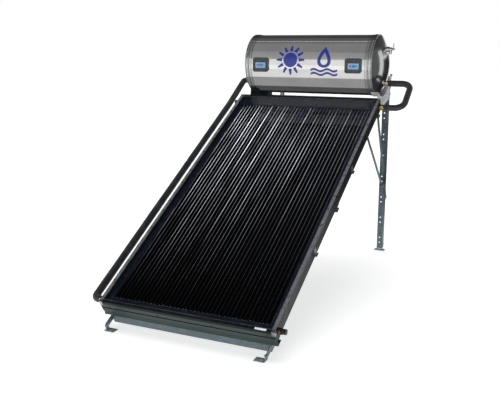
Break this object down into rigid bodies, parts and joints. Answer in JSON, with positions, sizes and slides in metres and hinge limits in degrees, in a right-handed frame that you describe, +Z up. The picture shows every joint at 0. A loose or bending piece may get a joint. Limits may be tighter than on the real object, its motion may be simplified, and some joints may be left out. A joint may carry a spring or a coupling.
{
  "type": "solar water heater",
  "caption": "Thermosiphon solar water heater: glazed flat-plate collector on a tilted angle stand, with a horizontal stainless tank above its top edge.",
  "frame": {"origin": "on the ground, at the centre of the four anchor holes in the feet", "axes": "+X to the right facing the glass, +Y to the back, up the slope, +Z up"},
  "size_m": [1.263, 2.17, 1.5344],
  "materials": {
    "absorber": "black selective coating",
    "black_foam": "closed-cell pipe insulation",
    "black_plastic": "black moulded cap",
    "brass": "machined brass",
    "case": "anodised aluminium extrusion",
    "copper": "copper tube",
    "dark_plastic": "dark grey moulded cover",
    "foam": "rigid polyurethane foam",
    "galvanised": "hot-dip galvanised steel",
    "glass": "low-iron tempered glass",
    "inner_steel": "stainless pressure vessel",
    "magnesium": "magnesium anode",
    "red_plastic": "moulded lever",
    "rubber": "EPDM rubber",
    "stainless": "polished stainless sheet",
    "trim": "bright aluminium glazing trim",
    "wool": "mineral wool board",
    "zinc": "zinc-plated fasteners"
  },
  "bodies": {
    "stand_and_tank": {"absorber_plate": "absorber", "anode_rod": "magnesium", "back_sheet": "case", "back_wool": "wool", "case_end_front": "case", "case_end_rear": "case", "case_side_left": "case", "case_side_right": "case", "corner_caps": "trim", "downcomer_sleeve_lower": "black_foam", "downcomer_sleeve_upper": "black_foam", "front_cross_bar": "galvanised", "glass": "glass", "glass_gasket": "rubber", "header_grommets": "rubber", "header_tubes": "copper", "heater_cover": "dark_plastic", "hot_loop_sleeve": "black_foam", "immersion_heater": "inner_steel", "inner_tank": "inner_steel", "leg_left": "galvanised", "leg_right": "galvanised", "link_pipes": "copper", "mount_rails": "case", "pipe_nuts": "brass", "rail_left": "galvanised", "rail_right": "galvanised", "rear_cross_bar": "galvanised", "relief_valve": "brass", "rim_rings": "stainless", "riser_tubes": "copper", "saddle_left": "galvanised", "saddle_right": "galvanised", "side_clips": "zinc", "small_screws": "zinc", "stand_bolts": "zinc", "strut_long_left": "galvanised", "strut_long_right": "galvanised", "strut_short_left": "galvanised", "strut_short_right": "galvanised", "tank_end_left": "stainless", "tank_end_right": "stainless", "tank_foam": "foam", "tank_ports": "inner_steel", "tank_shell": "stainless", "thermostat": "black_plastic", "thermostat_cover": "dark_plastic", "trim_front": "trim", "trim_left": "trim", "trim_rear": "trim", "trim_right": "trim"},
    "foot_front_left": {"foot_front_left": "galvanised"},
    "foot_front_right": {"foot_front_right": "galvanised"},
    "foot_rear_left": {"foot_rear_left": "galvanised"},
    "foot_rear_right": {"foot_rear_right": "galvanised"},
    "relief_lever": {"relief_lever": "red_plastic"},
    "thermostat_knob": {"thermostat_knob": "black_plastic"},
    "blank_cap_front_right": {"blank_cap_front_right": "black_plastic"},
    "blank_cap_rear_left": {"blank_cap_rear_left": "black_plastic"}
  },
  "joints": [
    {"name": "foot_front_left_swivel", "type": "hinge", "parent": "stand_and_tank", "child": "foot_front_left", "pos_m": [-0.455, -1.04346, 0.02281], "axis": [1, 0, 0], "range_deg": [-20, 20]},
    {"name": "foot_front_right_swivel", "type": "hinge", "parent": "stand_and_tank", "child": "foot_front_right", "pos_m": [0.455, -1.04346, 0.02281], "axis": [1, 0, 0], "range_deg": [-20, 20]},
    {"name": "foot_rear_left_swivel", "type": "hinge", "parent": "stand_and_tank", "child": "foot_rear_left", "pos_m": [-0.455, 1.05, 0.045], "axis": [1, 0, 0], "range_deg": [-10, 10]},
    {"name": "foot_rear_right_swivel", "type": "hinge", "parent": "stand_and_tank", "child": "foot_rear_right", "pos_m": [0.455, 1.05, 0.045], "axis": [1, 0, 0], "range_deg": [-10, 10]},
    {"name": "relief_lever_lift", "type": "hinge", "parent": "stand_and_tank", "child": "relief_lever", "pos_m": [0.529, 0.858, 1.436], "axis": [0, 1, 0], "range_deg": [0, 90], "stiffness_Nm_per_rad": 0.15, "springref_deg": -20.05},
    {"name": "thermostat_turn", "type": "hinge", "parent": "stand_and_tank", "child": "thermostat_knob", "pos_m": [0.314, 0.658, 1.33], "axis": [0, 1, 0], "range_deg": [0, 270]},
    {"name": "cap_front_right_turn", "type": "hinge", "parent": "stand_and_tank", "child": "blank_cap_front_right", "pos_m": [0.52, -0.99463, 0.13986], "axis": [1, 0, 0], "continuous": true},
    {"name": "cap_rear_left_turn", "type": "hinge", "parent": "stand_and_tank", "child": "blank_cap_rear_left", "pos_m": [-0.52, 0.65196, 1.06766], "axis": [1, 0, 0], "continuous": true}
  ]
}
